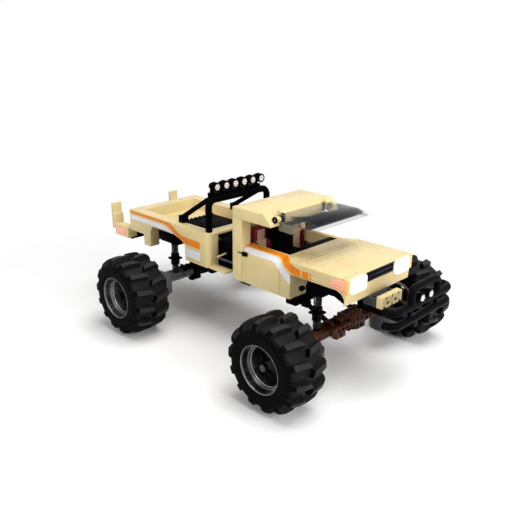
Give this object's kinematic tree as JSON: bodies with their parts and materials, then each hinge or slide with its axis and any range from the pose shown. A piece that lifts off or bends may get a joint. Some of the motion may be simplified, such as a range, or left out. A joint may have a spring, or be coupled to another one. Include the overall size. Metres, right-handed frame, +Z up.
{
  "type": "toy monster truck",
  "caption": "Brick-built toy off-road pick-up with huge lugged tyres, steered front wheels, opening doors, raised windscreen, roll bar with lamps and an open load bed.",
  "frame": {"origin": "centre of the bounding box on the ground plane, where the tyres stand", "axes": "+X forwards, +Y to the left of the truck, +Z up"},
  "size_m": [0.52, 0.318, 0.2078],
  "materials": {
    "black": "black moulded plastic",
    "tan": "glossy moulded plastic",
    "brown": "reddish brown moulded plastic",
    "lens_white": "clear white lens",
    "lens_amber": "amber lens",
    "dark_grey": "dark grey moulded plastic",
    "lens_red": "red lens",
    "dark_chrome": "dark chromed plastic",
    "seat_tan": "dusty tan plastic with dark red sides",
    "grey": "grey moulded plastic",
    "rubber": "matt rubber",
    "smoke": "smoke clear plastic"
  },
  "bodies": {
    "truck": {"battery_box": "black", "bed": "tan", "cab": "tan", "chassis": "black", "fairlead": "tan", "front_axle": "brown", "front_bumper": "black", "grille": "black", "headlight_left": "lens_white", "headlight_right": "lens_white", "hood": "tan", "indicator_left": "lens_amber", "indicator_right": "lens_amber", "interior": "black", "lamp_bar": "black", "link_front_left": "black", "link_front_right": "black", "link_rear_left": "black", "link_rear_right": "black", "marker_lamp_left": "lens_red", "marker_lamp_right": "lens_red", "nose_panel": "tan", "rear_axle": "black", "rear_beam": "black", "rear_post_left": "tan", "rear_post_right": "tan", "roll_bar": "black", "roof": "tan", "seat_left": "seat_tan", "seat_right": "seat_tan", "shaft_front_left": "grey", "shaft_front_right": "grey", "shaft_rear_left": "grey", "shaft_rear_right": "grey", "shock_front_left": "black", "shock_front_right": "black", "shock_rear_left": "black", "shock_rear_right": "black", "tail_lamp_left": "lens_red", "tail_lamp_right": "lens_red", "visor": "tan", "winch": "dark_grey", "wing_left": "tan", "wing_right": "tan"},
    "door_right": {"door_right": "tan", "door_handle_right": "black"},
    "knuckle_right": {"knuckle_right": "dark_grey"},
    "wheel_front_right": {"tyre_front_right": "rubber", "rim_front_right": "dark_chrome"},
    "wheel_rear_right": {"tyre_rear_right": "rubber", "rim_rear_right": "dark_chrome"},
    "door_left": {"door_left": "tan", "door_handle_left": "black"},
    "knuckle_left": {"knuckle_left": "dark_grey"},
    "wheel_front_left": {"tyre_front_left": "rubber", "rim_front_left": "dark_chrome"},
    "wheel_rear_left": {"tyre_rear_left": "rubber", "rim_rear_left": "dark_chrome"},
    "windscreen": {"windscreen": "smoke", "windscreen_lip": "black"}
  },
  "joints": [
    {"name": "steer_left", "type": "hinge", "parent": "truck", "child": "knuckle_left", "pos_m": [0.158, 0.078, 0.0544], "axis": [0, 0, 1], "range_deg": [-25, 25]},
    {"name": "steer_right", "type": "hinge", "parent": "truck", "child": "knuckle_right", "pos_m": [0.158, -0.078, 0.0544], "axis": [0, 0, 1], "range_deg": [-25, 25]},
    {"name": "spin_front_right", "type": "hinge", "parent": "knuckle_right", "child": "wheel_front_right", "pos_m": [0.158, -0.131, 0.0544], "axis": [0, 1, 0], "continuous": true},
    {"name": "spin_front_left", "type": "hinge", "parent": "knuckle_left", "child": "wheel_front_left", "pos_m": [0.158, 0.131, 0.0544], "axis": [0, 1, 0], "continuous": true},
    {"name": "spin_rear_right", "type": "hinge", "parent": "truck", "child": "wheel_rear_right", "pos_m": [-0.114, -0.131, 0.0544], "axis": [0, 1, 0], "continuous": true},
    {"name": "spin_rear_left", "type": "hinge", "parent": "truck", "child": "wheel_rear_left", "pos_m": [-0.114, 0.131, 0.0544], "axis": [0, 1, 0], "continuous": true},
    {"name": "door_right_hinge", "type": "hinge", "parent": "truck", "child": "door_right", "pos_m": [0.099, -0.064, 0.1264], "axis": [0, 0, 1], "range_deg": [0, 60]},
    {"name": "door_left_hinge", "type": "hinge", "parent": "truck", "child": "door_left", "pos_m": [0.099, 0.064, 0.1264], "axis": [0, 0, -1], "range_deg": [0, 60]},
    {"name": "windscreen_hinge", "type": "hinge", "parent": "truck", "child": "windscreen", "pos_m": [0.083, 0, 0.184], "axis": [0, 1, 0], "range_deg": [0, 31]}
  ],
  "couplings": [
    {"joint": "steer_right", "follows": "steer_left", "ratio": 1}
  ]
}
